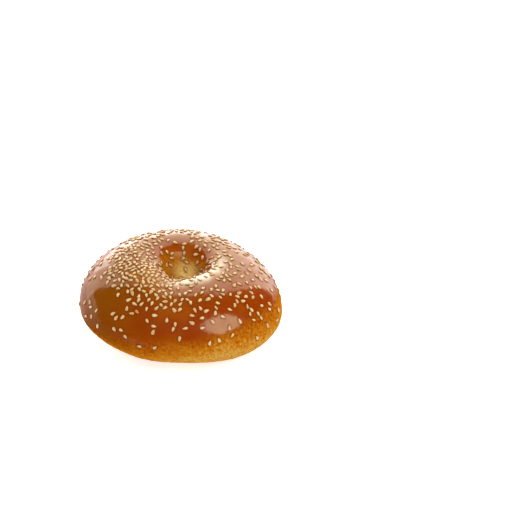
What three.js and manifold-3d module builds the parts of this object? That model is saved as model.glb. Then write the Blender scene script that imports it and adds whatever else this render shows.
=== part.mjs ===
// A sesame bagel: a plump baked ring of dough with a flat base, a narrow hole through its middle,
// and sesame seeds stuck to its crust. Millimetres, +Z up. The origin is on the surface that it
// rests on, under the middle of the crust's box.

import * as THREE from "three";
import { mergeVertices } from "three/addons/utils/BufferGeometryUtils.js";
import Module from "manifold-3d";

// The ring of dough
const OUTER_RADIUS = 60; // to the widest line of the side
const CREST_RADIUS = 25; // mean, to the highest line of the top
const NECK_RADIUS = 9.3; // mean, to the hole's narrowest line
const HEIGHT = 46.7; // mean height of the crest
const BELLY_HEIGHT = 17.2; // mean height of the widest line of the side
const UNDERSIDE_SAG = 1.3; // depth of the round underside before the base flattens it, in belly heights
const BASE_ROUNDING = 2; // half the height over which the underside turns into the flat base

// How full each quarter of the ring's section is: 0 is an ellipse, less is leaner, more is squarer
const SHOULDER_FULLNESS = -0.175;
const HOLE_FULLNESS = 0.275;
const TOP_FULLNESS = 0.047;
const UNDERSIDE_FULLNESS = -0.09;

// What makes the ring uneven, with each direction as an angle from +X
const LEAN_DIRECTION = THREE.MathUtils.degToRad(172); // the ring is tallest here
const HEIGHT_LEAN = 0.055;
const BELLY_LEAN = 0.202;
const LOBES = 3; // the outline swells gently in this many places
const LOBE_SWELL = 0.018;
const LOBE_DIRECTION = THREE.MathUtils.degToRad(-42);
const OVAL_SWELL = 0.005; // and the whole outline is a little oval
const OVAL_DIRECTION = THREE.MathUtils.degToRad(-2);
const SEAM_DIRECTION = THREE.MathUtils.degToRad(-104); // the crest sinks and the side draws in here
const SEAM_SPREAD = 0.52;
const SEAM_DIP = 0.068;
const SEAM_DENT = 0.01;
const SETTLE_DIRECTION = THREE.MathUtils.degToRad(35); // the base is broadest here
const SETTLE_EXTRA = 0.177;
const FOOT_LOBES = 5; // the foot swells in this many places, so its front is nearly straight
const FOOT_SWELL = 0.059;
const FOOT_DIRECTION = THREE.MathUtils.degToRad(-44);
const CREST_SHIFT = 0.156; // the crest line lies to one side of the middle
const CREST_DIRECTION = THREE.MathUtils.degToRad(131);
const HOLE_SHIFT = 0.18; // the hole lies to another side
const HOLE_DIRECTION = THREE.MathUtils.degToRad(-6);
const HOLE_OVAL = 0.052; // and is a little oval
const HOLE_OVAL_DIRECTION = THREE.MathUtils.degToRad(72);

// The sesame seeds
const SEED_LENGTH = 3.2;
const SEED_WIDTH = 1.95;
const SEED_THICKNESS = 1.1;
const SEED_TAPER = 0.42; // how much narrower a seed is at its pointed end
const SEED_SIZE_RANGE = 0.2; // from the first and largest seed to the last, as a share
const SEED_COUNT = 165;
const SEED_SPACING = 3.3; // least distance between two seeds' centres
const SEED_TILT = 0.16; // greatest lean of a seed out of the crust's plane, in radians
const SEED_PROUD = 0; // height of a seed's middle over the crust
const SEED_DRAW = 20260; // start of the repeatable random draw
const SEED_LOWEST = -0.1; // section angles that seeds may lie at, in half turns
const SEED_HIGHEST = 1;

// How thickly the seeds lie, from 0 to 1, with each edge as the section angles that it runs between
const SIDE_COVER = 0.1;
const SIDE_EDGE = [-6, 14];
const BARE_DIRECTION = THREE.MathUtils.degToRad(208); // the side is nearly bare here
const BARE_SPREAD = 0.45;
const BARE_SHARE = 0.9;
const TOP_COVER = 0.22;
const TOP_EDGE = [10, 80];
const TALL_SIDE_RISE = 26; // the top's edge begins this much higher on the tall side
const CROWD_DIRECTION = THREE.MathUtils.degToRad(212); // the top is most crowded here
const CROWD_SPREAD = 0.8;
const CROWDING = 0.78;
const HOLE_EDGE = [105, 152];
const BARE_PATCHES = [
  // bare places on the top, by ring and section angle
  { ring: 98, section: 93, breadth: 5 },
  { ring: 17, section: 67, breadth: 9 },
  { ring: 306, section: 77, breadth: 6 },
];

// Fineness of the facets
const RING_STEPS = 60;
const SECTION_STEPS = 32;
const SEED_SIDES = 6;
const SEED_RINGS = 3;

const wasm = await Module();
wasm.setup();

// A cosine or sine made into a fuller or a leaner quarter of the section, with its ends kept.
function rounded(value, fullness) {
  return value * (1 + fullness * (1 - value * value));
}

// The underside's height once the surface below has flattened it, with a rounded edge.
function settled(height) {
  if (height >= BASE_ROUNDING) return height;
  if (height <= -BASE_ROUNDING) return 0;
  return (height + BASE_ROUNDING) ** 2 / (4 * BASE_ROUNDING);
}

// A bell curve of an angle, the same whatever whole turns the angle holds.
function bell(angle, spread) {
  const turned = Math.atan2(Math.sin(angle), Math.cos(angle));
  return Math.exp(-((turned / spread) ** 2));
}

// A point of the crust. ring goes round the hole from +X, and section goes round the dough,
// from the side (0) over the crest (a quarter turn) into the hole and back under the base.
function crustPoint(ring, section) {
  const lean = Math.cos(ring - LEAN_DIRECTION);
  const seam = bell(ring - SEAM_DIRECTION, SEAM_SPREAD);
  const lobe = LOBE_SWELL * Math.cos(LOBES * (ring - LOBE_DIRECTION));
  const oval = OVAL_SWELL * Math.cos(2 * (ring - OVAL_DIRECTION));
  const crest = HEIGHT * (1 + HEIGHT_LEAN * lean - SEAM_DIP * seam);
  const belly = BELLY_HEIGHT * (1 + BELLY_LEAN * lean);
  const outer = OUTER_RADIUS * (1 + lobe + oval - SEAM_DENT * seam);
  const ridge = CREST_RADIUS * (1 + CREST_SHIFT * Math.cos(ring - CREST_DIRECTION));
  const holeShift = HOLE_SHIFT * Math.cos(ring - HOLE_DIRECTION);
  const holeOval = HOLE_OVAL * Math.cos(2 * (ring - HOLE_OVAL_DIRECTION));
  const neck = NECK_RADIUS * (1 + holeShift + holeOval);
  const sag = UNDERSIDE_SAG + SETTLE_EXTRA * Math.cos(ring - SETTLE_DIRECTION);

  const across = Math.cos(section);
  const upward = Math.sin(section);
  const foot = FOOT_SWELL * Math.cos(FOOT_LOBES * (ring - FOOT_DIRECTION)) * Math.min(upward, 0) ** 2;
  const reach =
    across > 0
      ? (outer - ridge) * rounded(across, SHOULDER_FULLNESS)
      : (ridge - neck) * rounded(across, HOLE_FULLNESS);
  const radius = (1 + foot) * (ridge + reach);
  const height =
    upward > 0
      ? belly + (crest - belly) * rounded(upward, TOP_FULLNESS)
      : settled(belly + belly * sag * rounded(upward, UNDERSIDE_FULLNESS));
  return new THREE.Vector3(radius * Math.cos(ring), radius * Math.sin(ring), height);
}

// The crust's outward normal and its area for each unit of both angles, by small steps.
function crustNormal(ring, section) {
  const step = 1e-3;
  const alongRing = crustPoint(ring + step, section).sub(crustPoint(ring - step, section));
  const alongSection = crustPoint(ring, section + step).sub(crustPoint(ring, section - step));
  const normal = alongRing.cross(alongSection).divideScalar(4 * step * step);
  const area = normal.length();
  return { normal: normal.divideScalar(area), area };
}

// How thickly seeds lie on the crust, from 0 to 1: thick on the top and thin on the side, with bare
// places, and none on the skirt, deep in the hole or under the base.
function seedCover(ring, section, place) {
  const degrees = THREE.MathUtils.radToDeg(section);
  const ease = THREE.MathUtils.smoothstep;
  const tallSide = 0.5 + 0.5 * Math.cos(ring - LEAN_DIRECTION);
  const bare = BARE_SHARE * bell(ring - BARE_DIRECTION, BARE_SPREAD);
  const onTheSide = SIDE_COVER * (1 - bare) * ease(degrees, ...SIDE_EDGE);
  const onTheTop = TOP_COVER + CROWDING * bell(ring - CROWD_DIRECTION, CROWD_SPREAD);
  const towardsTheTop = ease(degrees, TOP_EDGE[0] + TALL_SIDE_RISE * tallSide, TOP_EDGE[1]);
  const intoTheHole = ease(degrees, ...HOLE_EDGE);
  let cover = THREE.MathUtils.lerp(onTheSide, onTheTop, towardsTheTop) * (1 - intoTheHole);
  for (const patch of barePlaces) {
    cover *= 1 - Math.exp(-((place.distanceTo(patch.place) / patch.breadth) ** 2));
  }
  return cover;
}

// A repeatable stream of random numbers from 0 to 1.
function randomDraw(state) {
  return () => {
    state = (state + 0x6d2b79f5) | 0;
    let mixed = Math.imul(state ^ (state >>> 15), 1 | state);
    mixed = (mixed + Math.imul(mixed ^ (mixed >>> 7), 61 | mixed)) ^ mixed;
    return ((mixed ^ (mixed >>> 14)) >>> 0) / 2 ** 32;
  };
}

// Where the seeds lie: darts thrown at the crust, kept in proportion to its area and cover,
// and dropped where they would land too near a seed that is already there.
function scatterSeeds() {
  const draw = randomDraw(SEED_DRAW);
  const mostArea = OUTER_RADIUS * OUTER_RADIUS;
  const seeds = [];
  while (seeds.length < SEED_COUNT) {
    const ring = 2 * Math.PI * draw();
    const section = Math.PI * (SEED_LOWEST + (SEED_HIGHEST - SEED_LOWEST) * draw());
    const keep = draw();
    const turn = 2 * Math.PI * draw();
    const lift = SEED_TILT * (2 * draw() - 1);
    const place = crustPoint(ring, section);
    const { normal, area } = crustNormal(ring, section);
    if (keep > (seedCover(ring, section, place) * area) / mostArea) continue;
    if (seeds.some((other) => other.place.distanceTo(place) < SEED_SPACING)) continue;
    const size = 1 + SEED_SIZE_RANGE * (0.5 - seeds.length / SEED_COUNT);
    seeds.push({ place, normal, turn, lift, size });
  }
  return seeds;
}

// One seed: a flattened ball drawn out to a point at one end, laid on the crust.
function seedGeometry({ place, normal, turn, lift, size }) {
  const seed = new THREE.SphereGeometry(1, SEED_SIDES, SEED_RINGS);
  const points = seed.getAttribute("position");
  for (let i = 0; i < points.count; i++) {
    const along = points.getY(i);
    const girth = 1 - SEED_TAPER * along;
    points.setX(i, points.getX(i) * girth);
  }
  seed.scale(SEED_WIDTH / 2, SEED_LENGTH / 2, SEED_THICKNESS / 2);
  seed.scale(size, size, size);
  seed.rotateX(lift);
  seed.rotateZ(turn);
  seed.translate(0, 0, SEED_PROUD);
  const lay = new THREE.Quaternion().setFromUnitVectors(new THREE.Vector3(0, 0, 1), normal);
  return seed.applyQuaternion(lay).translate(place.x, place.y, place.z);
}

// The bare crust: a torus whose every point is moved to its place on the bagel.
function crustGeometry() {
  const torus = new THREE.TorusGeometry(CREST_RADIUS, NECK_RADIUS, SECTION_STEPS, RING_STEPS);
  const points = torus.getAttribute("position");
  const turns = torus.getAttribute("uv");
  for (let i = 0; i < points.count; i++) {
    const place = crustPoint(2 * Math.PI * turns.getX(i), 2 * Math.PI * turns.getY(i));
    points.setXYZ(i, place.x, place.y, place.z);
  }
  return torus;
}

// A closed geometry as a solid that can be joined to others.
function solidOf(geometry) {
  const bare = geometry.clone();
  bare.deleteAttribute("normal");
  bare.deleteAttribute("uv");
  const merged = mergeVertices(bare, 1e-4);
  return new wasm.Manifold(
    new wasm.Mesh({
      numProp: 3,
      vertProperties: merged.getAttribute("position").array,
      triVerts: new Uint32Array(merged.index.array),
    }),
  );
}

// A solid as a geometry.
function geometryOf(solid) {
  const { vertProperties, triVerts } = solid.getMesh();
  const geometry = new THREE.BufferGeometry();
  geometry.setAttribute("position", new THREE.BufferAttribute(vertProperties, 3));
  geometry.setIndex(new THREE.BufferAttribute(triVerts, 1));
  geometry.computeVertexNormals();
  return geometry;
}

const barePlaces = BARE_PATCHES.map(({ ring, section, breadth }) => ({
  place: crustPoint(THREE.MathUtils.degToRad(ring), THREE.MathUtils.degToRad(section)),
  breadth,
}));

const crust = crustGeometry();
crust.computeBoundingBox();
const middle = crust.boundingBox.getCenter(new THREE.Vector3());

let dough = solidOf(crust);
for (const seed of scatterSeeds()) dough = dough.add(solidOf(seedGeometry(seed)));

const bagel = new THREE.Mesh(
  geometryOf(dough),
  new THREE.MeshStandardMaterial({ color: 0xa85a12, roughness: 0.35, metalness: 0 }),
);
bagel.name = "bagel";
bagel.position.set(-middle.x, -middle.y, 0);

const part = new THREE.Group();
part.add(bagel);

export default part;
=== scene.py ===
"""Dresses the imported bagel: a glossy brown crust with a matt golden skirt, and sesame seeds stuck to it.

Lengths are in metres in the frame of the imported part: +Z is up, and the front of the bagel faces -Y.
Two angles give a place on the crust. The ring angle goes round from +X, and the section angle goes from
the side (0) over the crest (90 degrees) and down the hole (180 degrees).
"""

import math

import bpy
import numpy as np
from bpy.props import FloatProperty, FloatVectorProperty, IntProperty, PointerProperty
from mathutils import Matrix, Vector


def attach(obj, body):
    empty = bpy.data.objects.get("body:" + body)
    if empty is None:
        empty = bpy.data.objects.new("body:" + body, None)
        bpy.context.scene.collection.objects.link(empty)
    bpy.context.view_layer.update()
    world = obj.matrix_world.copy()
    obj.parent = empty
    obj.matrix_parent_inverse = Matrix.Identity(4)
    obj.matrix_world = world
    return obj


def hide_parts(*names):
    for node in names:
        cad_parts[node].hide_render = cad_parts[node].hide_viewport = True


bl_info = {
    "name": "Sesame Bagel",
    "version": (1, 0, 0),
    "blender": (4, 5, 0),
    "location": "3D View > Sidebar > Bagel",
    "description": "Makes a baked bagel's crust, its sesame seeds and a plain studio around it",
    "category": "Add Mesh",
}

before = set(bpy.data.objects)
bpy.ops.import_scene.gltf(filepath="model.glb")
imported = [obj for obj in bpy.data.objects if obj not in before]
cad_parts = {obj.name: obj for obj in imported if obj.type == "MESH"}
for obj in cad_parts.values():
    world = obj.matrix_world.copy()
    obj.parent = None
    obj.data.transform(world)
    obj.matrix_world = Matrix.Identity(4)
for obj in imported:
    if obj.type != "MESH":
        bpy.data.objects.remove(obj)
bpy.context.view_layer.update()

# How full each quarter of the ring's section is: 0 is an ellipse, less is leaner, more is squarer. The sag
# is the depth of the round underside before the base flattens it, in belly heights
SHOULDER_FULLNESS = -0.175
HOLE_FULLNESS = 0.275
TOP_FULLNESS = 0.047
UNDERSIDE_FULLNESS = -0.09
UNDERSIDE_SAG = 1.3

# Slow waves round the ring: the swing, the ring angle of a crest in degrees, and how many waves. The swing
# is in degrees for the skirt's edge, and a share for the rest
HEIGHT_LEAN = (0.055, 172, 1)
BELLY_LEAN = (0.202, 172, 1)
OUTLINE_LOBES = (0.018, -42, 3)
OUTLINE_OVAL = (0.005, -2, 2)
CREST_SHIFT = (0.156, 131, 1)
HOLE_SHIFT = (0.18, -6, 1)
HOLE_OVAL = (0.052, 72, 2)
SETTLE_EXTRA = (0.177, 35, 1)
FOOT_LOBES = (0.059, -44, 5)
SKIRT_LEAN = (-12.0, 172, 1)
SEEDS_LEAN = (0.5, 172, 1)

# The seam, where the crest sinks and the side draws in: its middle in degrees and its breadth in radians
SEAM_PLACE = (-104, 0.52)
SEAM_DIP = 0.068
SEAM_DENT = 0.01

# Fineness of the crust: steps round the ring, section angles with the step that each is reached at, and
# the small step and the least area that its normals are worked out with
RING_STEPS = 540
SECTION_KNOTS = (-80, 24, 165, 280)
SECTION_STEPS = (0, 76, 152, 176)
ANGLE_STEP = 1e-3
LEAST_AREA = 1e-12

# Large odd numbers that mix the bits of a repeatable draw, and the bits that it keeps
CELL_FACTORS = (374761393, 668265263, 1274126177)
KIND_FACTOR = 362437
CLIMB = 0x6D2B79F5
LOW_BITS = 0xFFFFFFFF

# Kinds of noise: how far it swings, in the unit of what it shakes, the size of its cubes, and its number
SKIRT_SHAKE = (3.5, 0.014, 3)
PALE_SHAKE = (6.0, 0.008, 5)
WALL_SHAKE = (5.0, 0.007, 6)
BROAD_CLOUDS = (0.1, 0.02, 7)
SMALL_CLOUDS = (0.07, 0.007, 8)
MATT_CLOUDS = (0.12, 0.005, 9)
RIM_SHAKE = (0.05, 0.004, 10)
BROAD_SWELLS = (0.00022, 0.016, 11)
SMALL_SWELLS = (0.00007, 0.006, 12)
COARSE_GRAIN = (0.0001, 0.0022, 13)
FINE_GRAIN = (0.00007, 0.0013, 14)
PIT_NOISE = (1.0, 0.0019, 15)
BLISTERS = (0.00005, 0.0024, 16)

# The crust's relief: how much higher blisters are in the wrinkled place, and the pits' depth. Pits lie
# where their noise is high, and relief begins over these heights above the base
WRINKLING = 0.6
PIT_DEPTH = 0.00022
PIT_EDGE = (0.35, 0.8)
BASE_EDGE = (0.0004, 0.004)

# Places round the ring with a finish of their own: the middle in degrees, and the breadth in radians
THICKEST_PLACE = (224, 0.62)
LOW_DULL_PLACE = (228, 0.7)
TALL_DULL_PLACE = (178, 0.6)
PALE_PLACE = (76, 0.6)
RIM_PLACE = (310, 1.0)
# Browner place low on the front's left: partly its own browning, partly painted shade
BROWNED_AND_SHADED_PLACE = (246, 0.45)
GOLDEN_PLACE = (312, 0.35)
# Straw place low on the front's right: partly its own paleness, partly painted light
STRAW_AND_LIT_PLACE = (291, 0.4)
# Painted light: the hole's right wall is paler here
PAINTED_LIGHT_WALL_PLACE = (35, 0.6)
WRINKLED_PLACE = (292, 0.2)
COARSE_PLACE = (308, 0.5)
OLIVE_PLACE = (210, 0.55)

# The same across the section
# Where the near rim is whitened, as paler dough and a painted highlight
RIM_BAND = (90, 0.12)
GOLDEN_BAND = (18, 0.4)
WRINKLED_BAND = (32, 0.35)

# Edges of the finishes: the section angles that each eased step runs between, in degrees
UNDERSIDE_EDGE = (190.0, 245.0)
THICKEST_OUTER_EDGE = (55.0, 75.0)
THICKEST_INNER_EDGE = (96.0, 112.0)
MATT_WALL_EDGE = (118.0, 135.0)
LOW_DULL_EDGE = (8.0, 36.0)
TALL_DULL_EDGE = (45.0, 80.0)
PALE_EDGE = (131.0, 152.0)
GOLDEN_WALL_EDGE = (112.0, 150.0)
TAWNY_OUTER_EDGE = (40.0, 80.0)
TAWNY_INNER_EDGE = (100.0, 116.0)
# Painted shade: seeds deeper in the hole than this are darkened towards tan
SHADED_SEEDS_EDGE = (112.0, 136.0)

# The skirt's upper edge, in degrees: its mean, and where gloss and browning begin and end by it
SKIRT_HEIGHT = 12.0
GLOSS_EDGE = (-7.0, 7.0)
BROWNING_EDGE = (-38.0, 9.0)

# How strong each finish is, and how much browning or painted seed shadow a place loses, from 0 to 1
THICKEST_DULLNESS = 0.8
LOW_DULLNESS = 0.95
TALL_DULLNESS = 0.45
LEAST_PALE = 0.04
# Whitening of the near rim, partly a painted highlight
RIM_WHITENING = 0.9
# Extra browning on the front's left, partly painted shade
TALL_BROWNING_AND_SHADE = 0.42
GOLDEN_LOSS = 0.1
# Paleness of the straw place, partly painted light
STRAW_AND_LIGHT_LOSS = 0.52
WALL_LOSS = 0.48
# Painted light: how much paler still the hole's right wall is
WALL_PAINTED_LIGHT_LOSS = 0.27
THICKEST_LOSS = 0.5
THICKEST_SEED_SHADOW_LOSS = 0.6
LEAST_COARSE = 0.55
WALL_COARSENESS = 0.4

# The seeds' repeatable draws, and the section angles that they may lie at, in half turns
SEED_DRAW = 20260
TINT_DRAW = SEED_DRAW + 1
SIZE_DRAW = SEED_DRAW + 2
GIRTH_DRAW = SEED_DRAW + 3
DART_COUNT = 110000
DART_DRAWS = 5
SEED_LOWEST = -0.1
SEED_HIGHEST = 1.0
BOLD_SEEDS = 165
BOLD_SPACING = 0.0033
SEED_SPACING = 0.00215
LOOSE_SPACING = 0.0008

# The form of a seed, and how sizes and girths range over the bold seeds and over the others
SEED_SIDES = 8
SEED_RINGS = 5
SEED_TAPER = 0.42
DEPTH_TAPER = 0.3
UNDERSIDE_DEPTH = 0.8
SEED_SIZE_RANGE = 0.2
OTHER_LEAST_SIZE = 0.88
OTHER_SIZE_RANGE = 0.14
OTHER_LEAST_GIRTH = 0.78
OTHER_GIRTH_RANGE = 0.2

# How a seed lies: its tilt, its height in thicknesses, and its heaping by gaps in seed lengths
SEED_TILT = 0.16
SEED_PROUD = 0.15
HEAP_RISE = 0.5
HEAP_EDGE = (0.45, 0.8)
MOST_HEAPED = 1.5

# Painted shadow on the crust round a seed, darkest under it: its margin, and its eased edge and the reach
# of the search in half seeds
SEED_SHADOW_MARGIN = 0.00035
SEED_SHADOW_EDGE = (0.75, 1.25)
SEED_SHADOW_REACH = 1.3

# How thickly the seeds lie, from 0 to 1, with places and edges given as for the finishes
SIDE_COVER = 0.1
SIDE_EDGE = (-6.0, 14.0)
BARE_PLACE = (208, 0.45)
BARE_SHARE = 0.9
TOP_COVER = 0.22
TOP_EDGE = (10.0, 80.0)
TALL_SIDE_RISE = 26.0
CROWD_PLACE = (212, 0.8)
CROWDING = 0.78
CROWD_POWER = 1.4
THIN_EDGE = (96.0, 118.0)
THINNING = 0.6
SPARSE_EDGE = (45.0, 75.0)
SPARSENESS = 0.6
STRAY_COVER = 0.01
SHEEN_PLACE = (176, 0.4)
SHEEN_EDGE = (50.0, 72.0)
HOLE_EDGE = (105.0, 152.0)
HOLE_COVER = 0.018
DEEP_EDGE = (150.0, 164.0)

# Bare places on the top: ring and section angles in degrees, and breadth
BARE_PATCHES = ((98.0, 93.0, 0.005), (17.0, 67.0, 0.009), (306.0, 77.0, 0.006))

# Mottling in the materials: its scale and contrast
CRUST_CLOUDS = (60.0, 2.0)
CRUST_FLECKS = (620.0, 2.4)
CRUST_PITS = (760.0, 2.6)
CRUST_GRAIN = (800.0, 2.2)
SEED_CLOUDS = (700.0, 2.0)

# How far each thing changes the crust's colour and the seeds', from 0 to 1
CLOUD_SHARE = 0.22
FLECK_SHARE = 0.9
PIT_SHARE = 0.85
# How dark the painted shadow round each seed is
SEED_SHADOW_DARKNESS = 0.82
SEED_TINT_SHARE = 0.4
# How far painted shade darkens the seeds deep in the hole
SEED_DEEP_SHARE = 0.35
SEED_CLOUD_SHARE = 0.15

# Ranges in the materials: the low and high of what is read and, where it isn't 0 to 1, what they become
OLIVE_RANGE = (0.25, 0.8, 0.0, 0.8)
PIT_RANGE = (0.62, 0.95)
TIP_RANGE = (0.3, 1.0, 0.0, 0.45)
# The seed's edges and underside darken to tan: partly a browner rim, partly painted shade under the seed
EDGE_TAN_AND_SHADE_RANGE = (-0.3, 0.9, 0.9, 0.0)
TINT_RANGE = (0.2, 0.96)
TOAST_RANGE = (0.985, 0.99, 0.0, 0.8)

# Sockets of a Mix node that mixes colours
MIX_SHARE, MIX_FIRST, MIX_SECOND = 0, 6, 7
MIX_RESULT = 2

# The camera: how far it stands off, how far it looks down, and where its middle lies from the base's
CAMERA_DISTANCE = 0.95
CAMERA_ELEVATION = math.radians(29.5)
CAMERA_RIGHT = 0.04635
CAMERA_UP = 0.04005
CAMERA_LENS = 108.9

# The floor and the backdrop: half the floor's side, its gap under the base, its colour and its glow
FLOOR_HALF = 4.0
FLOOR_GAP = 0.0002
FLOOR_COLOUR = (0.82, 0.87, 1.0, 1.0)
FLOOR_GLOW = (1.0, 1.0, 1.0)
FLOOR_GLOW_TO_CAMERA = (1.2, 1.2, 1.2)
FLOOR_GLOW_STRENGTH = 0.6
FILL_STRENGTH = 0.3
BACKDROP_STRENGTH = 1.0

# Colours of the studio's lights, the roll of its key light and the spread of its backdrop light
WARM_LIGHT = (0.97, 1.0, 0.67)
PALE_LIGHT = (1.0, 0.97, 0.85)
WINDOW_LIGHT = (1.0, 0.97, 0.79)
SKY_LIGHT = (0.94, 0.97, 1.0)
KEY_ROLL = math.radians(-18)
BACKDROP_SPREAD = math.radians(162)


class BagelSizes(bpy.types.PropertyGroup):
    """Sizes of the ring of dough and of the seeds on it"""

    outer_radius: FloatProperty(
        name="Outer radius", description="From the axis to the side's widest line",
        default=0.06, unit="LENGTH",
    )
    crest_radius: FloatProperty(
        name="Crest radius", description="From the axis to the top's highest line",
        default=0.025, unit="LENGTH",
    )
    neck_radius: FloatProperty(
        name="Neck radius", description="From the axis to the hole's narrowest line",
        default=0.0093, unit="LENGTH",
    )
    height: FloatProperty(
        name="Height", description="Mean height of the crest",
        default=0.0467, unit="LENGTH",
    )
    belly_height: FloatProperty(
        name="Belly height", description="Mean height of the side's widest line",
        default=0.0172, unit="LENGTH",
    )
    base_rounding: FloatProperty(
        name="Base rounding", description="Half the height of the base's rounded edge",
        default=0.002, unit="LENGTH",
    )
    seed_length: FloatProperty(
        name="Seed length", description="Length of a middling seed",
        default=0.0032, unit="LENGTH",
    )
    seed_width: FloatProperty(
        name="Seed width", description="Width of a middling seed",
        default=0.00195, unit="LENGTH",
    )
    seed_thickness: FloatProperty(
        name="Seed thickness", description="Thickness of a middling seed",
        default=0.0011, unit="LENGTH",
    )
    seed_count: IntProperty(
        name="Seeds", description="How many seeds lie on the crust",
        default=555, min=1,
    )


class BagelColours(bpy.types.PropertyGroup):
    """Colours of the crust and of the seeds"""

    brown: FloatVectorProperty(
        name="Brown", description="The crust where it baked darkest",
        default=(0.265, 0.034, 0.0005), subtype="COLOR",
    )
    amber: FloatVectorProperty(
        name="Amber", description="The crust where it baked less",
        default=(0.385, 0.111, 0.004), subtype="COLOR",
    )
    tawny: FloatVectorProperty(
        name="Tawny", description="The crust of the top, under its sheen",
        default=(0.245, 0.057, 0.001), subtype="COLOR",
    )
    gold: FloatVectorProperty(
        name="Gold", description="The matt skirt near the base",
        default=(0.455, 0.163, 0.009), subtype="COLOR",
    )
    straw: FloatVectorProperty(
        name="Straw", description="The skirt where it is palest",
        default=(0.5, 0.26, 0.048), subtype="COLOR",
    )
    olive: FloatVectorProperty(
        name="Olive", description="The yellower crust of the tall side",
        default=(0.2, 0.056, 0.0008), subtype="COLOR",
    )
    # Painted shadow: the dark crust close round each seed stands in for the shade that the seed casts
    seed_shadow_colour: FloatVectorProperty(
        name="Seed shadow", description="The crust close round a seed",
        default=(0.15, 0.035, 0.0015), subtype="COLOR",
    )
    cream: FloatVectorProperty(
        name="Cream", description="The pale dough inside the hole",
        default=(1.0, 0.75, 0.29), subtype="COLOR",
    )
    # Milk is partly paler dough and partly a painted highlight along the hole's near rim
    milk: FloatVectorProperty(
        name="Milk", description="The whitened near rim of the hole",
        default=(0.97, 0.85, 0.7), subtype="COLOR",
    )
    ivory: FloatVectorProperty(
        name="Ivory", description="The palest seeds",
        default=(0.72, 0.485, 0.27), subtype="COLOR",
    )
    # Tan is partly the seeds' own browner tips, edges and tint, and partly painted shade on their lower
    # edges and deep in the hole
    tan: FloatVectorProperty(
        name="Tan", description="The seeds' tips and edges",
        default=(0.42, 0.19, 0.05), subtype="COLOR",
    )
    toast: FloatVectorProperty(
        name="Toast", description="The few seeds that browned",
        default=(0.6, 0.22, 0.035), subtype="COLOR",
    )


def smooth(value, low, high):
    """Rises from 0 at low to 1 at high as three squares less two cubes of the share of the way."""
    share = np.clip((value - low) / (high - low), 0.0, 1.0)
    return share * share * (3.0 - 2.0 * share)


def near(angle, place):
    """A bell curve that is 1 in the middle of a place: e to minus the square of the angle from there,
    whatever whole turns it holds, over the place's breadth."""
    middle, breadth = place
    away = angle - math.radians(middle)
    turned = np.arctan2(np.sin(away), np.cos(away))
    return np.exp(-((turned / breadth) ** 2))


def wave(ring, swing, crest, count):
    """A cosine round the ring that swings as far each way and has a crest at that angle in degrees."""
    return swing * np.cos(count * (ring - math.radians(crest)))


def rounded(value, fullness):
    """A cosine or sine times one plus fullness times one less its own square, so its ends stay."""
    return value * (1.0 + fullness * (1.0 - value * value))


def settled(height, rounding):
    """Nought under -rounding, the height itself over rounding, and a parabola that joins them between."""
    curve = (height + rounding) ** 2 / (4.0 * rounding)
    return np.where(height <= -rounding, 0.0, np.where(height >= rounding, height, curve))


def crust_points(ring, section, sizes):
    """Points of the bare crust: two half ellipses outwards and inwards from the crest line, two more
    upwards and downwards from the belly line, all made fuller or leaner, and flattened at the base.
    Their sizes swing with slow cosines of the ring angle, and sink near the seam as a bell curve."""
    seam = near(ring, SEAM_PLACE)
    outline = 1.0 + wave(ring, *OUTLINE_LOBES) + wave(ring, *OUTLINE_OVAL)
    crest = sizes.height * (1.0 + wave(ring, *HEIGHT_LEAN) - SEAM_DIP * seam)
    belly = sizes.belly_height * (1.0 + wave(ring, *BELLY_LEAN))
    outer = sizes.outer_radius * (outline - SEAM_DENT * seam)
    ridge = sizes.crest_radius * (1.0 + wave(ring, *CREST_SHIFT))
    neck = sizes.neck_radius * (1.0 + wave(ring, *HOLE_SHIFT) + wave(ring, *HOLE_OVAL))
    sag = UNDERSIDE_SAG + wave(ring, *SETTLE_EXTRA)

    across = np.cos(section)
    upward = np.sin(section)
    foot = wave(ring, *FOOT_LOBES) * np.minimum(upward, 0.0) ** 2
    outwards = (outer - ridge) * rounded(across, SHOULDER_FULLNESS)
    inwards = (ridge - neck) * rounded(across, HOLE_FULLNESS)
    radius = (1.0 + foot) * (ridge + np.where(across > 0.0, outwards, inwards))
    above = belly + (crest - belly) * rounded(upward, TOP_FULLNESS)
    below = settled(belly + belly * sag * rounded(upward, UNDERSIDE_FULLNESS), sizes.base_rounding)
    height = np.where(upward > 0.0, above, below)
    return np.stack([radius * np.cos(ring), radius * np.sin(ring), height], axis=-1)


def crust_normals(ring, section, sizes):
    """Outward normals and area per unit of both angles: the cross product of two small steps."""
    step = ANGLE_STEP
    along_ring = crust_points(ring + step, section, sizes) - crust_points(ring - step, section, sizes)
    along_section = crust_points(ring, section + step, sizes) - crust_points(ring, section - step, sizes)
    normals = np.cross(along_ring, along_section) / (4.0 * step * step)
    area = np.linalg.norm(normals, axis=-1)
    return normals / np.maximum(area, LEAST_AREA)[..., None], area


def crust_grid():
    """Ring and section angles of the crust's grid, with closer steps on the skirt."""
    ring = np.arange(RING_STEPS) * (2.0 * np.pi / RING_STEPS)
    steps = np.arange(SECTION_STEPS[-1])
    section = np.radians(np.interp(steps, SECTION_STEPS, SECTION_KNOTS))
    return np.meshgrid(ring, section, indexing="ij")


def crust_middle(sizes):
    """Middle of the bare crust's box in plan, which the part's origin lies under."""
    points = crust_points(*crust_grid(), sizes)[..., :2].reshape(-1, 2)
    middle = (points.min(axis=0) + points.max(axis=0)) / 2.0
    return np.append(middle, 0.0)


def lattice_draw(cell, kind):
    """A repeatable number from 0 to 1 for each whole-numbered cell, by mixing its bits."""
    mixed = cell.astype(np.int64) @ np.array(CELL_FACTORS)
    mixed = (mixed + kind * KIND_FACTOR) & LOW_BITS
    mixed = ((mixed ^ (mixed >> 13)) * CELL_FACTORS[-1]) & LOW_BITS
    return (mixed ^ (mixed >> 16)) / 2.0**32


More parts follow.
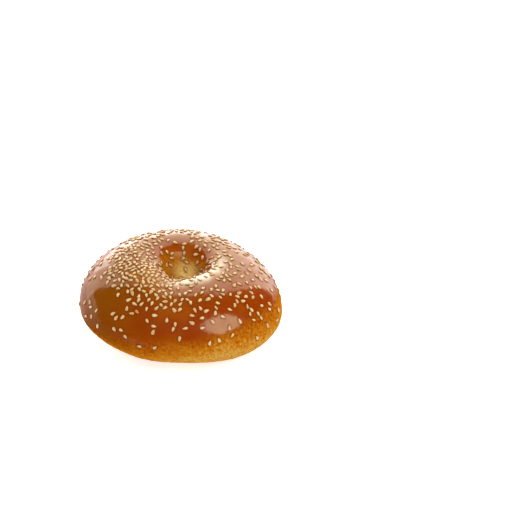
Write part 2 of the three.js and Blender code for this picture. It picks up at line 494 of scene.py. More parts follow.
def soft_noise(points, swing, size, kind):
    """Smooth noise that swings as far each way: draws at the corners of cubes of that size, eased from
    corner to corner."""
    scaled = points / size
    cell = np.floor(scaled)
    share = smooth(scaled - cell, 0.0, 1.0)
    total = np.zeros(points.shape[:-1])
    for corner in np.ndindex(2, 2, 2):
        weight = np.prod(np.where(corner, share, 1.0 - share), axis=-1)
        total += weight * lattice_draw(cell + corner, kind)
    return swing * (2.0 * total - 1.0)


def above_the_skirt(ring, section, points):
    """Section angle over the skirt's upper edge, in degrees: the edge is a cosine, lowest on the tall
    side, shaken by noise."""
    edge = SKIRT_HEIGHT + wave(ring, *SKIRT_LEAN) + soft_noise(points, *SKIRT_SHAKE)
    return np.degrees(section) - edge


def off_the_underside(section):
    """1 on all that shows from above and 0 under the base, eased down the hole's lower half."""
    return 1.0 - smooth(np.degrees(section), *UNDERSIDE_EDGE)


def skirt_share(ring, section, points):
    """1 on the matt skirt and 0 above it, by an eased step at the skirt's edge."""
    glossy = smooth(above_the_skirt(ring, section, points), *GLOSS_EDGE)
    return 1.0 - glossy * off_the_underside(section)


def thickest_share(ring, section):
    """1 amid the thickest seeds and 0 clear of them: a bell curve round the ring, and two eased steps."""
    degrees = np.degrees(section)
    across = smooth(degrees, *THICKEST_OUTER_EDGE) * (1.0 - smooth(degrees, *THICKEST_INNER_EDGE))
    return near(ring, THICKEST_PLACE) * across


def matt_share(ring, section, points):
    """1 where the crust is matt and 0 where it is glossy: 1 less the product of what each matt place
    leaves: the skirt, the hole's wall, two dull places on the tall side, the crust amid the thickest
    seeds, and faint clouds."""
    degrees = np.degrees(section)
    in_the_hole = smooth(degrees, *MATT_WALL_EDGE)
    low_dull = LOW_DULLNESS * near(ring, LOW_DULL_PLACE) * (1.0 - smooth(degrees, *LOW_DULL_EDGE))
    tall_dull = TALL_DULLNESS * near(ring, TALL_DULL_PLACE) * (1.0 - smooth(degrees, *TALL_DULL_EDGE))
    clouds = MATT_CLOUDS[0] + soft_noise(points, *MATT_CLOUDS)
    glossy = (1.0 - skirt_share(ring, section, points)) * (1.0 - in_the_hole)
    glossy = glossy * (1.0 - THICKEST_DULLNESS * thickest_share(ring, section))
    return 1.0 - glossy * (1.0 - low_dull) * (1.0 - tall_dull) * (1.0 - clouds)


def pale_share(ring, section, points):
    """1 on the pale dough deep in the hole's far side and little on its near side: an eased step shaken
    by noise, times a bell curve of the ring angle over a least share."""
    degrees = np.degrees(section) + soft_noise(points, *PALE_SHAKE)
    far_side = LEAST_PALE + (1.0 - LEAST_PALE) * near(ring, PALE_PLACE)
    return far_side * smooth(degrees, *PALE_EDGE) * off_the_underside(section)


def pale_rim_and_highlight_share(ring, section, points):
    """How far the near rim is whitened, partly as paler dough and partly as a painted highlight: bell
    curves of both angles, shaken by noise.
    """
    across = near(section + soft_noise(points, *RIM_SHAKE), RIM_BAND)
    return RIM_WHITENING * near(ring, RIM_PLACE) * across


def browning(ring, section, points):
    """How browned the crust is, from 0 to 1: rising up the skirt, from more on the tall side, less in a
    golden and a straw place low on the front, on the hole's wall and amid the thickest seeds, and
    clouded. The extra browning low on the front's left is partly painted shade, the straw place partly
    painted light, and the extra loss on the hole's right wall painted light."""
    degrees = np.degrees(section)
    # Partly painted shade: more browning on the front's left skirt
    tall_side = TALL_BROWNING_AND_SHADE * near(ring, BROWNED_AND_SHADED_PLACE)
    up_the_side = smooth(above_the_skirt(ring, section, points), *BROWNING_EDGE)
    golden = GOLDEN_LOSS * near(ring, GOLDEN_PLACE) * near(section, GOLDEN_BAND)
    # Partly painted light: paler straw low on the front's right
    straw = STRAW_AND_LIGHT_LOSS * near(ring, STRAW_AND_LIT_PLACE) * (1.0 - up_the_side)
    share = tall_side + (1.0 - tall_side) * up_the_side - golden - straw
    into_the_hole = smooth(degrees + soft_noise(points, *WALL_SHAKE), *GOLDEN_WALL_EDGE)
    # Less browning on the hole's wall, with painted light making its right side paler still
    wall = (WALL_LOSS + WALL_PAINTED_LIGHT_LOSS * near(ring, PAINTED_LIGHT_WALL_PLACE)) * into_the_hole
    share = share * (1.0 - wall) * (1.0 - THICKEST_LOSS * thickest_share(ring, section))
    clouds = soft_noise(points, *BROAD_CLOUDS) + soft_noise(points, *SMALL_CLOUDS)
    return np.clip(share * off_the_underside(section) + clouds, 0.0, 1.0)


def top_share(ring, section):
    """1 on the top and 0 on the side, in the hole and amid the thickest seeds, by two eased steps."""
    degrees = np.degrees(section)
    across = smooth(degrees, *TAWNY_OUTER_EDGE) * (1.0 - smooth(degrees, *TAWNY_INNER_EDGE))
    return across * (1.0 - thickest_share(ring, section))


def coarse_share(ring, section, points):
    """How coarse the crust's grain is: most on the skirt's front, some on the rest of the skirt, by a bell
    curve over a least share, and some on the hole's wall, by an eased step."""
    front = LEAST_COARSE + (1.0 - LEAST_COARSE) * near(ring, COARSE_PLACE)
    wall = WALL_COARSENESS * smooth(np.degrees(section), *MATT_WALL_EDGE)
    return np.maximum(skirt_share(ring, section, points) * front, wall)


def crust_relief(ring, section, points):
    """Height of the crust over its smooth form: slow swells and fine blisters all over, higher in one
    wrinkled place, a coarse grain with pits on the skirt, and nothing on the flat base. The swells, the
    blisters and the grain are noise, and the pits are an eased step of noise."""
    swells = soft_noise(points, *BROAD_SWELLS) + soft_noise(points, *SMALL_SWELLS)
    wrinkled = near(ring, WRINKLED_PLACE) * near(section, WRINKLED_BAND)
    blisters = (1.0 + WRINKLING * wrinkled) * soft_noise(points, *BLISTERS)
    grain = soft_noise(points, *COARSE_GRAIN) + soft_noise(points, *FINE_GRAIN)
    pits = PIT_DEPTH * smooth(soft_noise(points, *PIT_NOISE), *PIT_EDGE)
    rough = skirt_share(ring, section, points) * (grain - pits)
    off_the_base = smooth(points[..., 2], *BASE_EDGE)
    return (swells + blisters + rough) * off_the_base


def seed_cover(ring, section, places, sizes):
    """How thickly seeds lie, from 0 to 1: eased steps up the side, onto the top and into the hole,
    swung by bell curves of the ring angle, with bell-shaped bare places."""
    degrees = np.degrees(section)
    tall_side = SEEDS_LEAN[0] + wave(ring, *SEEDS_LEAN)
    bare = BARE_SHARE * near(ring, BARE_PLACE)
    on_the_side = SIDE_COVER * (1.0 - bare) * smooth(degrees, *SIDE_EDGE)
    on_the_top = TOP_COVER + CROWDING * near(ring, CROWD_PLACE)
    towards_the_top = smooth(degrees, TOP_EDGE[0] + TALL_SIDE_RISE * tall_side, TOP_EDGE[1])
    cover = on_the_side + (on_the_top - on_the_side) * towards_the_top
    cover = cover * (1.0 - smooth(degrees, *HOLE_EDGE))
    for patch_ring, patch_section, breadth in BARE_PATCHES:
        middle = crust_points(math.radians(patch_ring), math.radians(patch_section), sizes)
        cover = cover * (1.0 - np.exp(-((np.linalg.norm(places - middle, axis=-1) / breadth) ** 2)))
    return cover


def later_cover(ring, section, cover):
    """How thickly the later seeds lie: a power of the cover, thinned in the hole, on the side and in the
    sheen of the tall side, with a few more deep in the hole and a few strays all along the side."""
    degrees = np.degrees(section)
    inwards = smooth(degrees, *THIN_EDGE)
    below_the_top = 1.0 - smooth(degrees, *SPARSE_EDGE)
    sheen = near(ring, SHEEN_PLACE) * (1.0 - smooth(degrees, *SHEEN_EDGE))
    in_the_hole = HOLE_COVER * inwards * (1.0 - smooth(degrees, *DEEP_EDGE))
    thinned = cover**CROWD_POWER * (1.0 - THINNING * inwards) + in_the_hole
    thinned = thinned * (1.0 - SPARSENESS * below_the_top) * (1.0 - sheen)
    strays = STRAY_COVER * smooth(degrees, *SIDE_EDGE) * below_the_top
    return np.maximum(thinned, strays)


def repeatable_draws(start, count):
    """A stream of random numbers from 0 to 1: a counter that climbs by a fixed odd step, mixed twice."""
    full = np.uint64(LOW_BITS)
    climbs = np.arange(1, count + 1, dtype=np.uint64) * np.uint64(CLIMB)
    state = (np.uint64(start) + climbs) & full
    mixed = ((state ^ (state >> np.uint64(15))) * (state | np.uint64(1))) & full
    turned = ((mixed ^ (mixed >> np.uint64(7))) * (mixed | np.uint64(61))) & full
    mixed = ((mixed + turned) & full) ^ mixed
    return (mixed ^ (mixed >> np.uint64(14))) / 2.0**32


def chosen_darts(kept, crowded, places, spacings, count):
    """The darts that become seeds: the kept ones first, well apart, and then the crowded ones, each at
    its own closer spacing. A dart is dropped where it would land on a seed before it."""
    chosen = []
    for dart in np.flatnonzero(kept | crowded):
        bold = len(chosen) < BOLD_SEEDS
        if not (kept if bold else crowded)[dart]:
            continue
        spacing = BOLD_SPACING if bold else spacings[dart]
        gaps = np.linalg.norm(places[chosen] - places[dart], axis=-1)
        if len(chosen) == 0 or gaps.min() >= spacing:
            chosen.append(dart)
        if len(chosen) == count:
            return chosen
    raise RuntimeError(f"only {len(chosen)} of {count} seeds found room on the crust")


def heaped(places, sizes):
    """How far each seed lies on top of earlier ones, up to a limit: one less the eased gap to each."""
    gaps = np.linalg.norm(places[:, None] - places[None], axis=-1)
    over = 1.0 - smooth(gaps, HEAP_EDGE[0] * sizes.seed_length, HEAP_EDGE[1] * sizes.seed_length)
    return np.minimum(np.tril(over, -1).sum(axis=1), MOST_HEAPED)


def seed_builds(count):
    """Size and girth of each seed: the bold ones shrink evenly and are all of one girth, and the others
    are slimmer and mostly smaller, by a draw each."""
    order = np.arange(count)
    bold = order < BOLD_SEEDS
    bold_size = 1.0 + SEED_SIZE_RANGE * (0.5 - order / BOLD_SEEDS)
    other_size = OTHER_LEAST_SIZE + OTHER_SIZE_RANGE * repeatable_draws(SIZE_DRAW, count)
    other_girth = OTHER_LEAST_GIRTH + OTHER_GIRTH_RANGE * repeatable_draws(GIRTH_DRAW, count)
    return np.where(bold, bold_size, other_size), np.where(bold, 1.0, other_girth)


def scatter_seeds(sizes):
    """Where the seeds lie: darts thrown at the crust, kept in proportion to its area and cover. The bold
    seeds come first and follow the plain cover, and the others follow the later cover."""
    draws = repeatable_draws(SEED_DRAW, DART_COUNT * DART_DRAWS).reshape(DART_COUNT, DART_DRAWS)
    around, across, chance, turn, lift = draws.T
    ring = 2.0 * np.pi * around
    section = np.pi * (SEED_LOWEST + (SEED_HIGHEST - SEED_LOWEST) * across)
    places = crust_points(ring, section, sizes)
    normals, area = crust_normals(ring, section, sizes)
    cover = seed_cover(ring, section, places, sizes)
    kept = chance <= cover * area / sizes.outer_radius**2
    crowded = chance <= later_cover(ring, section, cover) * area / sizes.outer_radius**2
    spacings = SEED_SPACING + LOOSE_SPACING * (1.0 - cover)
    chosen = chosen_darts(kept, crowded, places, spacings, sizes.seed_count)
    heap = heaped(places[chosen], sizes)
    size, girth = seed_builds(sizes.seed_count)
    return {
        "ring": ring[chosen],
        "section": section[chosen],
        "place": places[chosen],
        "normal": normals[chosen],
        "turn": 2.0 * np.pi * turn[chosen],
        "lift": SEED_TILT * (2.0 * lift[chosen] - 1.0) * (1.0 + heap),
        "size": size,
        "girth": girth,
        "heap": heap,
    }


def seed_form(sizes):
    """One seed about its middle: a ball's rings along +Y, narrowed towards +Y, with a flatter underside."""
    slope = np.pi * np.arange(1, SEED_RINGS + 1) / (SEED_RINGS + 1)
    round_about = 2.0 * np.pi * np.arange(SEED_SIDES) / SEED_SIDES
    along, around = np.meshgrid(np.cos(slope), round_about, indexing="ij")
    girth = np.sqrt(1.0 - along * along)
    width = girth * np.cos(around) * (1.0 - SEED_TAPER * along)
    depth = girth * np.sin(around) * (1.0 - DEPTH_TAPER * SEED_TAPER * along)
    depth = np.where(depth < 0.0, UNDERSIDE_DEPTH * depth, depth)
    rings = np.stack([width, along, depth], axis=-1).reshape(-1, 3)
    ends = np.array([[0.0, 1.0, 0.0], [0.0, -1.0, 0.0]])
    half = np.array([sizes.seed_width, sizes.seed_length, sizes.seed_thickness]) / 2.0
    return np.concatenate([rings, ends]) * half


def seed_faces():
    """Faces of one seed: quads between its rings, and a fan of triangles at each end."""
    sides = np.arange(SEED_SIDES)
    following = (sides + 1) % SEED_SIDES
    first = np.arange(SEED_RINGS - 1)[:, None] * SEED_SIDES
    second = first + SEED_SIDES
    quads = np.stack([first + sides, first + following, second + following, second + sides], axis=-1)
    tip = SEED_RINGS * SEED_SIDES
    last = (SEED_RINGS - 1) * SEED_SIDES
    tip_fan = np.stack([np.full(SEED_SIDES, tip), following, sides], axis=-1)
    blunt_fan = np.stack([np.full(SEED_SIDES, tip + 1), last + sides, last + following], axis=-1)
    return quads.reshape(-1, 4), np.concatenate([tip_fan, blunt_fan])


def turned_about(points, angle, first, second):
    """Points turned by an angle for each seed, from the first axis towards the second."""
    turned = points.copy()
    cosine = np.cos(angle)[:, None]
    sine = np.sin(angle)[:, None]
    turned[..., first] = cosine * points[..., first] - sine * points[..., second]
    turned[..., second] = sine * points[..., first] + cosine * points[..., second]
    return turned


def laid_on(points, normals):
    """Points turned the shortest way that takes +Z to each normal: itself, plus its cross product with
    the axis, plus that product crossed again and shared by one plus the cosine."""
    axis = np.cross(np.array([0.0, 0.0, 1.0]), normals)[:, None, :]
    once = np.cross(axis, points)
    return points + once + np.cross(axis, once) / (1.0 + normals[:, None, 2:])


def seed_points(seeds, sizes):
    """Every seed's points: the one form, sized, slimmed, tilted, turned, laid on the crust and put in its
    place, higher where it lies on other seeds."""
    points = seed_form(sizes)[None] * seeds["size"][:, None, None]
    points[..., 0] *= seeds["girth"][:, None]
    points = turned_about(points, seeds["lift"], 1, 2)
    points = turned_about(points, seeds["turn"], 0, 1)
    points = laid_on(points, seeds["normal"])
    relief = crust_relief(seeds["ring"], seeds["section"], seeds["place"])
    proud = relief + sizes.seed_thickness * (SEED_PROUD + HEAP_RISE * seeds["heap"])
    place = seeds["place"] + seeds["normal"] * proud[:, None] - crust_middle(sizes)
    return points + place[:, None, :]


def seed_shadow_share(points, seeds, sizes):
    """1 where painted shadow darkens the crust under and round a seed and 0 clear of every seed: an eased
    step across an oval a little larger than the seed, worked out on the grid's rows near each one."""
    sideways = np.tile(np.array([[[1.0, 0.0, 0.0], [0.0, 1.0, 0.0]]]), (len(seeds["turn"]), 1, 1))
    axes = laid_on(turned_about(sideways, seeds["turn"], 0, 1), seeds["normal"])
    half = np.array([sizes.seed_width, sizes.seed_length]) / 2.0 * seeds["size"][:, None]
    half[:, 0] *= seeds["girth"]
    half += SEED_SHADOW_MARGIN
    row = np.round(seeds["ring"] * RING_STEPS / (2.0 * np.pi)).astype(int)
    row_gap = np.linalg.norm(seeds["place"][:, :2], axis=-1) * (2.0 * np.pi / RING_STEPS)
    seed_shadow = np.zeros(points.shape[:2])
    for seed, place in enumerate(seeds["place"]):
        reach = math.ceil(SEED_SHADOW_REACH * half[seed, 1] / row_gap[seed])
        rows = np.arange(row[seed] - reach, row[seed] + reach + 1) % RING_STEPS
        offset = points[rows] - place
        oval = np.linalg.norm(offset @ axes[seed].T / half[seed], axis=-1)
        height = np.abs(offset @ seeds["normal"][seed])
        shade = (1.0 - smooth(oval, *SEED_SHADOW_EDGE)) * (height < half[seed, 1])
        seed_shadow[rows] = np.maximum(seed_shadow[rows], shade)
    return seed_shadow


def filled_mesh(name, points, polygons):
    """A smooth mesh from an array of points and arrays of faces, one array for each number of corners."""
    mesh = bpy.data.meshes.new(name)
    corners = np.concatenate([faces.ravel() for faces in polygons]).astype(np.int32)
    counts = np.concatenate([np.full(len(faces), faces.shape[1]) for faces in polygons])
    mesh.vertices.add(len(points))
    mesh.vertices.foreach_set("co", points.astype(np.float32).ravel())
    mesh.loops.add(len(corners))
    mesh.loops.foreach_set("vertex_index", corners)
    mesh.polygons.add(len(counts))
    mesh.polygons.foreach_set("loop_start", np.append(0, np.cumsum(counts)[:-1]).astype(np.int32))
    mesh.polygons.foreach_set("use_smooth", np.ones(len(counts), dtype=bool))
    mesh.update(calc_edges=True)
    mesh.validate()
    return mesh


def add_measures(mesh, measures):
    """Numbers for each vertex that the material reads by name."""
    for name, values in measures.items():
        measure = mesh.attributes.new(name, "FLOAT", "POINT")
        measure.data.foreach_set("value", values.astype(np.float32).ravel())


def crust_quads():
    """Faces of the crust's grid, closed both ways round."""
    width = SECTION_STEPS[-1]
    row = np.arange(RING_STEPS)[:, None] * width
    next_row = np.roll(row, -1, axis=0)
    along = np.arange(width)[None, :]
    above = (along + 1) % width
    quads = np.stack([row + along, next_row + along, next_row + above, row + above], axis=-1)
    return quads.reshape(-1, 4)


def crust_mesh(sizes):
    """The crust's grid with relief along its normals, and the share of each finish at its vertices. The
    painted shadow round the seeds is fainter amid the thickest seeds."""
    ring, section = crust_grid()
    points = crust_points(ring, section, sizes)
    normals, _ = crust_normals(ring, section, sizes)
    relief = crust_relief(ring, section, points)
    shown = points + normals * relief[..., None] - crust_middle(sizes)
    mesh = filled_mesh("crust", shown.reshape(-1, 3), [crust_quads()])
    # Painted shadow round each seed, which also takes the glaze off there
    seed_shadow = seed_shadow_share(points, scatter_seeds(sizes), sizes)
    add_measures(mesh, {
        "seed_shadow": seed_shadow * (1.0 - THICKEST_SEED_SHADOW_LOSS * thickest_share(ring, section)),
        "matt": np.maximum(matt_share(ring, section, points), seed_shadow),
        "pale": pale_share(ring, section, points),
        "rim": pale_rim_and_highlight_share(ring, section, points),
        "top": top_share(ring, section),
        "browning": browning(ring, section, points),
        "coarse": coarse_share(ring, section, points),
        "olive": near(ring, OLIVE_PLACE),
    })
    return mesh


def seeds_mesh(sizes):
    """All the seeds as one mesh, with a tint and how deep in the hole it lies for each, and the way along
    and up it for each vertex. The depth in the hole and the way up the seed carry painted shade."""
    seeds = scatter_seeds(sizes)
    points = seed_points(seeds, sizes)
    count, corners = points.shape[:2]
    offset = (np.arange(count) * corners)[:, None, None]
    polygons = [(faces[None] + offset).reshape(-1, faces.shape[1]) for faces in seed_faces()]
    mesh = filled_mesh("sesame_seeds", points.reshape(-1, 3), polygons)
    form = seed_form(sizes)
    deep = smooth(np.degrees(seeds["section"]), *SHADED_SEEDS_EDGE)
    add_measures(mesh, {
        "tint": np.repeat(repeatable_draws(TINT_DRAW, count), corners),
        "deep": np.repeat(deep, corners),
        "along": np.tile(form[:, 1] / (sizes.seed_length / 2.0), count),
        "up": np.tile(form[:, 2] / (sizes.seed_thickness / 2.0), count),
    })
    return mesh


def feed(tree, socket, value):
    """Joins an input to another node's output, or sets it to a number or a colour."""
    if isinstance(value, bpy.types.NodeSocket):
        tree.links.new(value, socket)
    elif socket.type == "RGBA":
        socket.default_value = (*value, 1.0)
    else:
        socket.default_value = value


def add_node(tree, kind, settings=None, inputs=None):
    """A node with its settings, and its inputs set to values or joined to other nodes' sockets."""
    node = tree.nodes.new(kind)
    for name, value in (settings or {}).items():
        setattr(node, name, value)
    for name, value in (inputs or {}).items():
        feed(tree, node.inputs[name], value)
    return node


def mixed_colour(tree, share, first, second):
    """The first colour where share is 0 and the second where it is 1."""
    node = add_node(tree, "ShaderNodeMix", {"data_type": "RGBA"})
    for socket, value in ((MIX_SHARE, share), (MIX_FIRST, first), (MIX_SECOND, second)):
        feed(tree, node.inputs[socket], value)
    return node.outputs[MIX_RESULT]


def ramped(tree, share, colours):
    """A share from 0 to 1 turned into colours that follow each other at even steps."""
    node = add_node(tree, "ShaderNodeValToRGB", {}, {"Fac": share})
    stops = node.color_ramp.elements
    for _ in colours[2:]:
        stops.new(0.5)
    for index, colour in enumerate(colours):
        stops[index].position = index / (len(colours) - 1)
        stops[index].color = (*colour, 1.0)
    return node.outputs["Color"]


def worked(tree, operation, first, second):
    """Two numbers put together, such as multiplied or added."""
    node = add_node(tree, "ShaderNodeMath", {"operation": operation})
    feed(tree, node.inputs[0], first)
    feed(tree, node.inputs[1], second)
    return node.outputs[0]


def spread(tree, value, low, high, low_to=0.0, high_to=1.0):
    """A number's range from low to high, eased and spread from low_to to high_to."""
    node = add_node(
        tree,
        "ShaderNodeMapRange",
        {"interpolation_type": "SMOOTHSTEP"},
        {"Value": value, "From Min": low, "From Max": high, "To Min": low_to, "To Max": high_to},
    )
    return node.outputs["Result"]


def mottle_group():
    """Cloudy mottling shared by the crust and the seeds: noise at a size, pushed apart by a contrast."""
    group = bpy.data.node_groups.new("mottle", "ShaderNodeTree")
    group.interface.new_socket("Vector", in_out="INPUT", socket_type="NodeSocketVector")
    group.interface.new_socket("Scale", in_out="INPUT", socket_type="NodeSocketFloat")
    group.interface.new_socket("Contrast", in_out="INPUT", socket_type="NodeSocketFloat")
    group.interface.new_socket("Mask", in_out="OUTPUT", socket_type="NodeSocketFloat")
    entry = group.nodes.new("NodeGroupInput")
    noise = add_node(group, "ShaderNodeTexNoise", {}, {
        "Vector": entry.outputs["Vector"],
        "Scale": entry.outputs["Scale"],
        "Detail": 3.0,
        "Roughness": 0.55,
    })
    centred = worked(group, "SUBTRACT", noise.outputs["Fac"], 0.5)
    pushed = worked(group, "MULTIPLY", centred, entry.outputs["Contrast"])
    clamped = add_node(group, "ShaderNodeClamp", {}, {"Value": worked(group, "ADD", pushed, 0.5)})
    leaving = group.nodes.new("NodeGroupOutput")
    group.links.new(clamped.outputs[0], leaving.inputs["Mask"])
    return group


def shared_mottle():
    """The mottling group, made on its first use."""
    return bpy.data.node_groups.get("mottle") or mottle_group()


def mottled(tree, group, scale, contrast):
    """The mask of a mottling group placed in a material, on object coordinates."""
    place = add_node(tree, "ShaderNodeTexCoord")
    node = add_node(tree, "ShaderNodeGroup", {"node_tree": group})
    feed(tree, node.inputs["Vector"], place.outputs["Object"])
    feed(tree, node.inputs["Scale"], scale)
    feed(tree, node.inputs["Contrast"], contrast)
    return node.outputs["Mask"]


def measured(tree, name):
    """A number that the mesh holds for each vertex."""
    return add_node(tree, "ShaderNodeAttribute", {"attribute_name": name}).outputs["Fac"]


def new_material(name):
    """An empty node material and its Principled shader."""
    material = bpy.data.materials.new(name)
    material.use_nodes = True
    return material, material.node_tree, material.node_tree.nodes["Principled BSDF"]


def crust_colour(tree, colours, group):
    """Straw, gold, amber and brown by how browned the crust is, tawny on the top, olive on the tall side,
    cream in the hole and milk on its near rim, brown in the skirt's pits, and a painted shadow dark round
    the seeds. The browning holds painted shade and light in places, and the milk a painted highlight."""
    clouds = worked(tree, "SUBTRACT", mottled(tree, group, *CRUST_CLOUDS), 0.5)
    flecks = worked(tree, "SUBTRACT", mottled(tree, group, *CRUST_FLECKS), 0.5)
    coarse = measured(tree, "coarse")
    clouded = worked(tree, "MULTIPLY", clouds, CLOUD_SHARE)
    flecked = worked(tree, "MULTIPLY", flecks, worked(tree, "MULTIPLY", coarse, FLECK_SHARE))
    shaken = worked(tree, "ADD", clouded, flecked)
    browned = worked(tree, "ADD", measured(tree, "browning"), shaken)
    body = ramped(tree, browned, (colours.straw, colours.gold, colours.amber, colours.brown))
    body = mixed_colour(tree, measured(tree, "top"), body, colours.tawny)
    olive = worked(tree, "MULTIPLY", measured(tree, "olive"), spread(tree, browned, *OLIVE_RANGE))
    body = mixed_colour(tree, olive, body, colours.olive)
    body = mixed_colour(tree, measured(tree, "pale"), body, colours.cream)
    # Milk on the near rim: paler dough with a painted highlight
    body = mixed_colour(tree, measured(tree, "rim"), body, colours.milk)
    pits = spread(tree, mottled(tree, group, *CRUST_PITS), *PIT_RANGE)
    pitted = worked(tree, "MULTIPLY", worked(tree, "MULTIPLY", pits, coarse), PIT_SHARE)
    body = mixed_colour(tree, pitted, body, colours.brown)
    # Painted shadow: the crust darkened close round each seed
    seed_shadow = worked(tree, "MULTIPLY", measured(tree, "seed_shadow"), SEED_SHADOW_DARKNESS)
    return mixed_colour(tree, seed_shadow, body, colours.seed_shadow_colour)


def crust_material(colours, group):
    """A crust under a clear glaze that thins out to nothing on the matt skirt and in the hole, with a
    fine grain where it is matt."""
    material, tree, shader = new_material("baked_crust")
    matt = measured(tree, "matt")
    tree.links.new(crust_colour(tree, colours, group), shader.inputs["Base Color"])
    tree.links.new(worked(tree, "SUBTRACT", 1.0, matt), shader.inputs["Coat Weight"])
    grain = worked(tree, "MULTIPLY", mottled(tree, group, *CRUST_GRAIN), matt)
    bump = add_node(tree, "ShaderNodeBump", {}, {"Height": grain, "Strength": 0.6, "Distance": 0.0004})
    tree.links.new(bump.outputs["Normal"], shader.inputs["Normal"])
    shader.inputs["Roughness"].default_value = 0.6
    shader.inputs["Specular IOR Level"].default_value = 0.0
    shader.inputs["Coat Roughness"].default_value = 0.12
    shader.inputs["Coat IOR"].default_value = 1.6
    return material


def seed_colour(tree, colours, clouds):
    """Ivory to tan by the darkest of the tip, the edges, the seed's own tint and how deep in the hole it
    lies, plus clouds, and toast on the few seeds with the highest tint. The tan deep in the hole is
    painted shade, and the tan low on each seed's edges is partly its browner rim and partly painted shade."""
    tint = measured(tree, "tint")
    tip = spread(tree, measured(tree, "along"), *TIP_RANGE)
    # Tan edges low on the seed, with a pale top: partly its browner rim, partly painted shade
    edge = spread(tree, measured(tree, "up"), *EDGE_TAN_AND_SHADE_RANGE)
    tanned = worked(tree, "MULTIPLY", spread(tree, tint, *TINT_RANGE), SEED_TINT_SHARE)
    # Painted shade: seeds deep in the hole darkened towards tan, joined with the seed's own tint
    deep = worked(tree, "MULTIPLY", measured(tree, "deep"), SEED_DEEP_SHARE)
    own = worked(tree, "MAXIMUM", tanned, deep)
    shade = worked(tree, "MAXIMUM", worked(tree, "MAXIMUM", tip, edge), own)
    shade = worked(tree, "ADD", worked(tree, "MULTIPLY", clouds, SEED_CLOUD_SHARE), shade)
    colour = mixed_colour(tree, shade, colours.ivory, colours.tan)
    return mixed_colour(tree, spread(tree, tint, *TOAST_RANGE), colour, colours.toast)


def seed_material(colours, group):
    """Satin seeds with a faintly uneven skin."""
    material, tree, shader = new_material("sesame")
    clouds = mottled(tree, group, *SEED_CLOUDS)
    tree.links.new(seed_colour(tree, colours, clouds), shader.inputs["Base Color"])
    bump = add_node(tree, "ShaderNodeBump", {}, {"Height": clouds, "Strength": 0.25, "Distance": 0.0002})
    tree.links.new(bump.outputs["Normal"], shader.inputs["Normal"])
    shader.inputs["Roughness"].default_value = 0.35
    shader.inputs["Specular IOR Level"].default_value = 0.5
    return material


def add_piece(mesh, material):
    """A finished mesh as a piece of the object that rides on the part's one body."""
    mesh.materials.append(material)
    piece = bpy.data.objects.new(mesh.name, mesh)
    bpy.context.scene.collection.objects.link(piece)
    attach(piece, "root")
    return piece


class BAGEL_OT_crust(bpy.types.Operator):
    """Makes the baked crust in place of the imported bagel"""

    bl_idname = "bagel.crust"
    bl_label = "Crust"

    def execute(self, context):
        material = crust_material(context.scene.bagel_colours, shared_mottle())
        piece = add_piece(crust_mesh(context.scene.bagel_sizes), material)
        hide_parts("bagel")
        return {"FINISHED"}


class BAGEL_OT_seeds(bpy.types.Operator):
    """Strews the sesame seeds over the crust"""

    bl_idname = "bagel.seeds"
    bl_label = "Sesame seeds"

    def execute(self, context):
        material = seed_material(context.scene.bagel_colours, shared_mottle())
        add_piece(seeds_mesh(context.scene.bagel_sizes), material)
        return {"FINISHED"}


def floor_material():
    """A matt white floor that glows a little more to the camera than it lights."""
    material, tree, shader = new_material("white_floor")
    path = add_node(tree, "ShaderNodeLightPath")
    glow = mixed_colour(tree, path.outputs["Is Camera Ray"], FLOOR_GLOW, FLOOR_GLOW_TO_CAMERA)
    tree.links.new(glow, shader.inputs["Emission Color"])
    shader.inputs["Base Color"].default_value = FLOOR_COLOUR
    shader.inputs["Roughness"].default_value = 0.9
    shader.inputs["Specular IOR Level"].default_value = 0.0
    shader.inputs["Emission Strength"].default_value = FLOOR_GLOW_STRENGTH
    return material


def floor_piece():
    """A wide flat square floor just under the base."""
    corners = FLOOR_HALF * np.array([[-1.0, -1.0], [1.0, -1.0], [1.0, 1.0], [-1.0, 1.0]])
    points = np.insert(corners, 2, -FLOOR_GAP, axis=1)
    mesh = filled_mesh("floor", points, [np.array([[0, 1, 2, 3]])])
    mesh.materials.append(floor_material())
    floor = bpy.data.objects.new("floor", mesh)
    bpy.context.scene.collection.objects.link(floor)


def add_softbox(name, azimuth, place, facing, size, radiance, colour, shape="RECTANGLE"):
    """A broad light at a distance and height on the side that azimuth gives, as bright as radiance. It
    looks at the height on the bagel's axis that facing gives."""
    distance, height = place
    data = bpy.data.lights.new(name, "AREA")
    data.shape = shape
    data.size, data.size_y = size
    area = data.size * data.size_y * (math.pi / 4.0 if shape == "ELLIPSE" else 1.0)
    data.energy = radiance * math.pi * area
    data.color = colour
    light = bpy.data.objects.new(name, data)
    bpy.context.scene.collection.objects.link(light)
    angle = math.radians(azimuth)
    light.location = (distance * math.cos(angle), distance * math.sin(angle), height)
    way = light.location - Vector((0.0, 0.0, facing))
    light.rotation_euler = way.to_track_quat("Z", "Y").to_euler()
    light.visible_camera = False
    return light


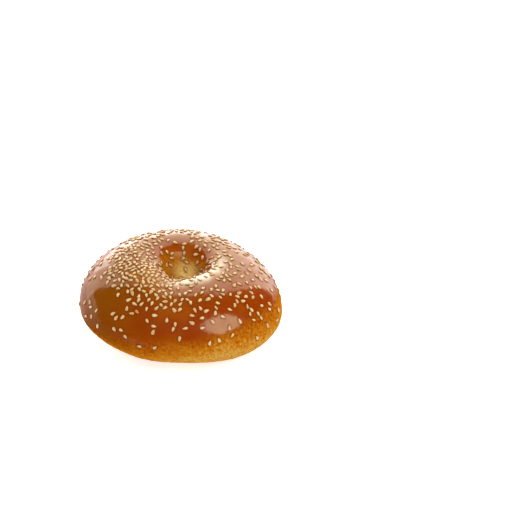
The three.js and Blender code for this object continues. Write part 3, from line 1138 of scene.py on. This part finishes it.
def studio_lights():
    """A warm oval key at the front right, two panels behind and one at the left whose sheen lies on the
    crust, and two lights that leave no highlight, overhead and at the front."""
    key = add_softbox(
        "key", azimuth=-36.8, place=(0.57, 0.6), facing=0.02,
        size=(0.65, 0.46), radiance=4.2, colour=WARM_LIGHT, shape="ELLIPSE",
    )
    key.rotation_euler.rotate_axis("Z", KEY_ROLL)
    backdrop = add_softbox(
        "backdrop", azimuth=98.0, place=(0.8, 1.05), facing=1.05,
        size=(2.12, 2.3), radiance=2.5, colour=WINDOW_LIGHT,
    )
    backdrop.data.spread = BACKDROP_SPREAD
    add_softbox(
        "horizon", azimuth=106.0, place=(0.8, 0.17), facing=0.17,
        size=(0.6, 0.34), radiance=3.2, colour=SKY_LIGHT,
    )
    add_softbox(
        "sweep", azimuth=164.0, place=(0.8, 0.105), facing=0.105,
        size=(0.44, 0.21), radiance=1.5, colour=WINDOW_LIGHT,
    )
    overhead = add_softbox(
        "overhead", azimuth=-90.0, place=(0.3, 1.5), facing=0.0,
        size=(1.6, 1.6), radiance=0.85, colour=PALE_LIGHT, shape="ELLIPSE",
    )
    overhead.visible_glossy = False
    front = add_softbox(
        "front", azimuth=-90.0, place=(0.66, 0.78), facing=0.02,
        size=(1.0, 0.5), radiance=1.13, colour=PALE_LIGHT,
    )
    front.visible_glossy = False


def studio_world():
    """A white backdrop to the camera, and a dim even fill to matt surfaces."""
    world = bpy.data.worlds.new("studio")
    world.use_nodes = True
    tree = world.node_tree
    path = add_node(tree, "ShaderNodeLightPath")
    strength = spread(tree, path.outputs["Is Camera Ray"], 0.0, 1.0, FILL_STRENGTH, BACKDROP_STRENGTH)
    tree.links.new(strength, tree.nodes["Background"].inputs["Strength"])
    tree.nodes["Background"].inputs["Color"].default_value = (1.0, 1.0, 1.0, 1.0)
    bpy.context.scene.world = world
    world.cycles_visibility.glossy = False


def add_camera(sizes):
    """A long-lens camera that looks along +Y and down, set off to the side as in the picture's frame."""
    sine = math.sin(CAMERA_ELEVATION)
    cosine = math.cos(CAMERA_ELEVATION)
    forward = Vector((0.0, cosine, -sine))
    upward = Vector((0.0, sine, cosine))
    data = bpy.data.cameras.new("camera")
    data.lens = CAMERA_LENS
    data.sensor_width = 36.0
    camera = bpy.data.objects.new("camera", data)
    bpy.context.scene.collection.objects.link(camera)
    middle = Vector(crust_middle(sizes))
    aim = Vector((CAMERA_RIGHT, 0.0, 0.0)) + CAMERA_UP * upward - middle
    camera.location = aim - CAMERA_DISTANCE * forward
    camera.rotation_euler = (math.pi / 2.0 - CAMERA_ELEVATION, 0.0, 0.0)
    bpy.context.scene.camera = camera


class BAGEL_OT_stage(bpy.types.Operator):
    """Sets up the floor, the lights and the camera"""

    bl_idname = "bagel.stage"
    bl_label = "Studio"

    def execute(self, context):
        floor_piece()
        studio_world()
        studio_lights()
        add_camera(context.scene.bagel_sizes)
        context.scene.view_settings.view_transform = "Standard"
        return {"FINISHED"}


class BAGEL_PT_sidebar(bpy.types.Panel):
    """The bagel's sizes, colours and pieces"""

    bl_idname = "BAGEL_PT_sidebar"
    bl_label = "Sesame Bagel"
    bl_space_type = "VIEW_3D"
    bl_region_type = "UI"
    bl_category = "Bagel"

    def draw(self, context):
        for group in (context.scene.bagel_sizes, context.scene.bagel_colours):
            column = self.layout.column(align=True)
            for name in group.__annotations__:
                column.prop(group, name)
        for operator in OPERATORS:
            self.layout.operator(operator.bl_idname)


OPERATORS = (BAGEL_OT_crust, BAGEL_OT_seeds, BAGEL_OT_stage)
CLASSES = (BagelSizes, BagelColours, *OPERATORS, BAGEL_PT_sidebar)


def register():
    """Adds the classes and the scene's two groups of properties."""
    for cls in CLASSES:
        bpy.utils.register_class(cls)
    bpy.types.Scene.bagel_sizes = PointerProperty(type=BagelSizes)
    bpy.types.Scene.bagel_colours = PointerProperty(type=BagelColours)


def unregister():
    """Takes away what register added."""
    del bpy.types.Scene.bagel_colours
    del bpy.types.Scene.bagel_sizes
    for cls in reversed(CLASSES):
        bpy.utils.unregister_class(cls)


def main():
    """Makes every piece and the studio."""
    register()
    bpy.ops.bagel.crust()
    bpy.ops.bagel.seeds()
    bpy.ops.bagel.stage()


if __name__ == "__main__":
    main()
